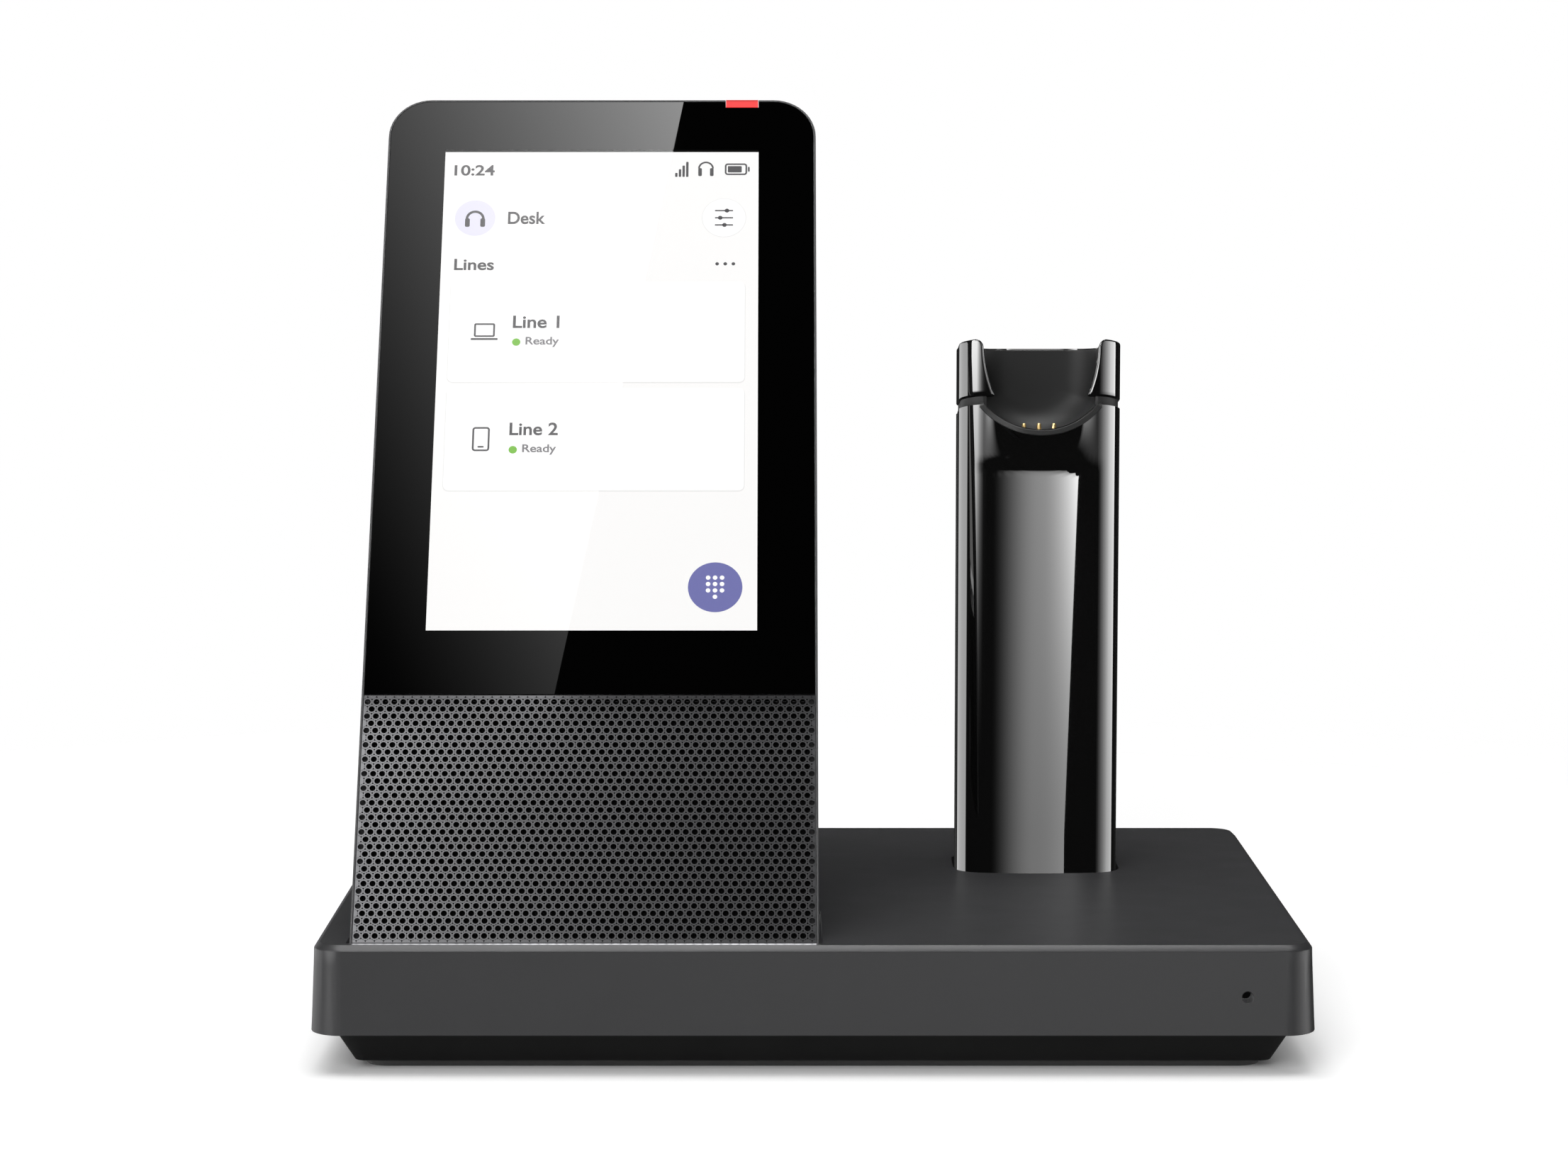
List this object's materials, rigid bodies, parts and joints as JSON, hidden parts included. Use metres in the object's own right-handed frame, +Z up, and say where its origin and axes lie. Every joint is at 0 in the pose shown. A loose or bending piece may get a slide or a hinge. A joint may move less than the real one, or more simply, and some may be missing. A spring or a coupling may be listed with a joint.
{
  "type": "desk ip phone",
  "caption": "Desk phone dock with a leaning touch screen over a loudspeaker grille, a tray base and a charging post with a cup for a headset.",
  "frame": {"origin": "on the desk, under the middle of the base", "axes": "+X to the right of the screen's user, +Y away from the user, +Z up"},
  "size_m": [0.1524, 0.1076, 0.1479],
  "materials": {
    "base_grey": "fine-grained matte",
    "shell_black": "matte",
    "pad_rubber": "matte",
    "board_green": "solder resist",
    "chip_black": "matte",
    "socket_steel": "satin",
    "jack_black": "satin",
    "capsule_steel": "satin",
    "boot_rubber": "matte",
    "aerial_copper": "bright",
    "screw_steel": "zinc plated",
    "bezel_grey": "satin",
    "housing_grey": "fine-grained matte",
    "cover_glass": "polished",
    "display": "lit",
    "tray_steel": "satin",
    "ribbon_amber": "satin",
    "bracket_steel": "zinc plated",
    "grille_metal": "satin",
    "cloth_black": "open mesh",
    "basket_black": "satin",
    "cone_paper": "matte",
    "magnet_iron": "ground",
    "lens_red": "lit, diffusing",
    "led_white": "clear",
    "post_gloss": "piano gloss",
    "cradle_satin": "satin",
    "contact_gold": "gold plated",
    "spring_steel": "bright",
    "block_black": "matte"
  },
  "bodies": {
    "station": {"base_top_cover": "base_grey", "base_bottom_cover": "shell_black", "rubber_base_pad": "pad_rubber", "base_board": "board_green", "screen_board": "board_green", "contact_board": "board_green", "board_chips": "chip_black", "usb_a_socket_left": "socket_steel", "usb_a_socket_right": "socket_steel", "usb_c_socket": "socket_steel", "power_jack": "jack_black", "microphone": "capsule_steel", "microphone_boot": "boot_rubber", "antenna_left": "aerial_copper", "antenna_right": "aerial_copper", "base_screws": "screw_steel", "board_screws": "screw_steel", "bracket_screws": "screw_steel", "bezel_screws": "screw_steel", "post_screws": "screw_steel", "screen_bezel": "bezel_grey", "screen_rear_housing": "housing_grey", "cover_glass": "cover_glass", "display_panel": "display", "display_tray": "tray_steel", "shield_can": "tray_steel", "screen_ribbon": "ribbon_amber", "charge_ribbon": "ribbon_amber", "screen_bracket_left": "bracket_steel", "screen_bracket_right": "bracket_steel", "post_foot_plate": "bracket_steel", "speaker_grille": "grille_metal", "speaker_cloth": "cloth_black", "speaker_basket": "basket_black", "speaker_cone": "cone_paper", "speaker_magnet": "magnet_iron", "busy_light_lens": "lens_red", "busy_light_led": "led_white", "post_front_shell": "post_gloss", "post_rear_shell": "post_gloss", "cradle_yoke": "post_gloss", "cradle_cup": "cradle_satin", "contact_spring_left": "spring_steel", "contact_spring_centre": "spring_steel", "contact_spring_right": "spring_steel", "contact_block": "block_black"},
    "pin_left": {"contact_pin_left": "contact_gold"},
    "pin_centre": {"contact_pin_centre": "contact_gold"},
    "pin_right": {"contact_pin_right": "contact_gold"}
  },
  "joints": [
    {"name": "pin_left_press", "type": "slide", "parent": "station", "child": "pin_left", "axis": [0, 0, -1], "range_m": [0, 0.0009], "stiffness_N_per_m": 400, "springref_m": -0.0006, "deforming": ["contact_spring_left"]},
    {"name": "pin_centre_press", "type": "slide", "parent": "station", "child": "pin_centre", "axis": [0, 0, -1], "range_m": [0, 0.0009], "stiffness_N_per_m": 400, "springref_m": -0.0006, "deforming": ["contact_spring_centre"]},
    {"name": "pin_right_press", "type": "slide", "parent": "station", "child": "pin_right", "axis": [0, 0, -1], "range_m": [0, 0.0009], "stiffness_N_per_m": 400, "springref_m": -0.0006, "deforming": ["contact_spring_right"]}
  ]
}
